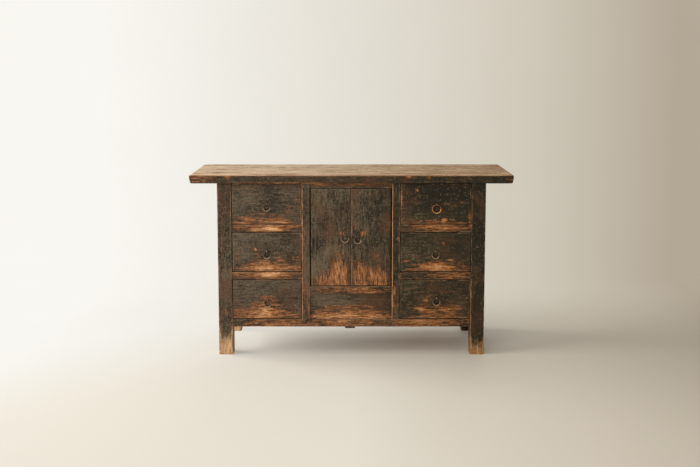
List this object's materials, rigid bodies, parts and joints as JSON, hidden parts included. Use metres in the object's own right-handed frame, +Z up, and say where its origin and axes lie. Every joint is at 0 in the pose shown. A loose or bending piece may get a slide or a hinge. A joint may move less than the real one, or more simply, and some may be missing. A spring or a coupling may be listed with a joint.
{
  "type": "sideboard",
  "caption": "Low freestanding sideboard: overhanging plank top on square legs, columns of ring-pull drawers either side of a pair of plank doors over a fixed panel.",
  "frame": {"origin": "on the floor, below the middle of the top board", "axes": "+Z up, +X to the right along the length, -Y towards the person opening the drawers"},
  "size_m": [1.55, 0.45, 0.884],
  "materials": {
    "top_wood": "bare worn elm, dry and matt",
    "frame_lacquer": "thin dark brown lacquer on elm, worn through on arrises and feet",
    "drawer_lacquer": "dark lacquer on elm, rubbed to orange-brown wood along the lower edges",
    "door_lacquer": "dark lacquer on upright elm boards, streaked where worn",
    "bare_wood": "unfinished inner elm, dry",
    "iron_pull": "hand-forged iron, dark and slightly polished by use",
    "brass_pull": "aged brass, dull"
  },
  "bodies": {
    "carcass": {"top_plank_front": "top_wood", "top_plank_middle": "top_wood", "top_plank_back": "top_wood", "leg_front_left": "frame_lacquer", "leg_back_left": "frame_lacquer", "leg_front_right": "frame_lacquer", "leg_back_right": "frame_lacquer", "post_left": "frame_lacquer", "post_right": "frame_lacquer", "front_bottom_rail": "frame_lacquer", "door_sill_rail": "frame_lacquer", "door_head_rail": "frame_lacquer", "rail_left_upper": "frame_lacquer", "rail_left_lower": "frame_lacquer", "rail_right_upper": "frame_lacquer", "rail_right_lower": "frame_lacquer", "side_panel_left": "frame_lacquer", "side_panel_right": "frame_lacquer", "partition_left": "bare_wood", "partition_right": "bare_wood", "back_rails": "bare_wood", "side_rails": "frame_lacquer", "top_cross_rails": "bare_wood", "back_boards": "bare_wood", "lower_panel": "frame_lacquer", "bottom_boards": "bare_wood", "bottom_batten": "bare_wood", "drawer_runners": "bare_wood", "floor_bearers": "bare_wood"},
    "drawer_left_top": {"drawer_left_top_front": "drawer_lacquer", "drawer_left_top_box": "bare_wood", "drawer_left_top_pin": "iron_pull"},
    "drawer_left_top_ring": {"drawer_left_top_ring": "iron_pull"},
    "drawer_left_middle": {"drawer_left_middle_front": "drawer_lacquer", "drawer_left_middle_box": "bare_wood", "drawer_left_middle_pin": "iron_pull"},
    "drawer_left_middle_ring": {"drawer_left_middle_ring": "iron_pull"},
    "drawer_left_bottom": {"drawer_left_bottom_front": "drawer_lacquer", "drawer_left_bottom_box": "bare_wood", "drawer_left_bottom_pin": "iron_pull"},
    "drawer_left_bottom_ring": {"drawer_left_bottom_ring": "iron_pull"},
    "drawer_right_top": {"drawer_right_top_front": "drawer_lacquer", "drawer_right_top_box": "bare_wood", "drawer_right_top_pin": "brass_pull"},
    "drawer_right_top_ring": {"drawer_right_top_ring": "brass_pull"},
    "drawer_right_middle": {"drawer_right_middle_front": "drawer_lacquer", "drawer_right_middle_box": "bare_wood", "drawer_right_middle_pin": "iron_pull"},
    "drawer_right_middle_ring": {"drawer_right_middle_ring": "iron_pull"},
    "drawer_right_bottom": {"drawer_right_bottom_front": "drawer_lacquer", "drawer_right_bottom_box": "bare_wood", "drawer_right_bottom_pin": "iron_pull"},
    "drawer_right_bottom_ring": {"drawer_right_bottom_ring": "iron_pull"},
    "door_left": {"door_left_leaf": "door_lacquer", "door_left_pin": "iron_pull"},
    "door_left_ring": {"door_left_ring": "iron_pull"},
    "door_right": {"door_right_leaf": "door_lacquer", "door_right_pin": "iron_pull"},
    "door_right_ring": {"door_right_ring": "iron_pull"},
    "loose_board": {"loose_board": "bare_wood"}
  },
  "joints": [
    {"name": "drawer_left_top_slide", "type": "slide", "parent": "carcass", "child": "drawer_left_top", "axis": [0, -1, 0], "range_m": [0, 0.28]},
    {"name": "drawer_left_top_ring_swing", "type": "hinge", "parent": "drawer_left_top", "child": "drawer_left_top_ring", "pos_m": [-0.40725, -0.2117, 0.74325], "axis": [-1, 0, 0], "range_deg": [-5, 170]},
    {"name": "drawer_left_middle_slide", "type": "slide", "parent": "carcass", "child": "drawer_left_middle", "axis": [0, -1, 0], "range_m": [0, 0.28]},
    {"name": "drawer_left_middle_ring_swing", "type": "hinge", "parent": "drawer_left_middle", "child": "drawer_left_middle_ring", "pos_m": [-0.40825, -0.2117, 0.51175], "axis": [-1, 0, 0], "range_deg": [-5, 170]},
    {"name": "drawer_left_bottom_slide", "type": "slide", "parent": "carcass", "child": "drawer_left_bottom", "axis": [0, -1, 0], "range_m": [0, 0.28]},
    {"name": "drawer_left_bottom_ring_swing", "type": "hinge", "parent": "drawer_left_bottom", "child": "drawer_left_bottom_ring", "pos_m": [-0.40825, -0.2117, 0.27225], "axis": [-1, 0, 0], "range_deg": [-5, 170]},
    {"name": "drawer_right_top_slide", "type": "slide", "parent": "carcass", "child": "drawer_right_top", "axis": [0, -1, 0], "range_m": [0, 0.28]},
    {"name": "drawer_right_top_ring_swing", "type": "hinge", "parent": "drawer_right_top", "child": "drawer_right_top_ring", "pos_m": [0.40875, -0.2117, 0.73925], "axis": [-1, 0, 0], "range_deg": [-5, 170]},
    {"name": "drawer_right_middle_slide", "type": "slide", "parent": "carcass", "child": "drawer_right_middle", "axis": [0, -1, 0], "range_m": [0, 0.28]},
    {"name": "drawer_right_middle_ring_swing", "type": "hinge", "parent": "drawer_right_middle", "child": "drawer_right_middle_ring", "pos_m": [0.40575, -0.2117, 0.51175], "axis": [-1, 0, 0], "range_deg": [-5, 170]},
    {"name": "drawer_right_bottom_slide", "type": "slide", "parent": "carcass", "child": "drawer_right_bottom", "axis": [0, -1, 0], "range_m": [0, 0.28]},
    {"name": "drawer_right_bottom_ring_swing", "type": "hinge", "parent": "drawer_right_bottom", "child": "drawer_right_bottom_ring", "pos_m": [0.41175, -0.2117, 0.28025], "axis": [-1, 0, 0], "range_deg": [-5, 170]},
    {"name": "door_left_swing", "type": "hinge", "parent": "carcass", "child": "door_left", "pos_m": [-0.1875, -0.195, 0.3425], "axis": [0, 0, -1], "range_deg": [0, 95]},
    {"name": "door_left_ring_swing", "type": "hinge", "parent": "door_left", "child": "door_left_ring", "pos_m": [-0.0315, -0.2117, 0.591], "axis": [-1, 0, 0], "range_deg": [-5, 170]},
    {"name": "door_right_swing", "type": "hinge", "parent": "carcass", "child": "door_right", "pos_m": [0.1825, -0.195, 0.3425], "axis": [0, 0, 1], "range_deg": [0, 95]},
    {"name": "door_right_ring_swing", "type": "hinge", "parent": "door_right", "child": "door_right_ring", "pos_m": [0.029, -0.2117, 0.586], "axis": [-1, 0, 0], "range_deg": [-5, 170]},
    {"name": "loose_board_lift", "type": "slide", "parent": "carcass", "child": "loose_board", "axis": [0, 0, 1], "range_m": [0, 0.3]}
  ]
}
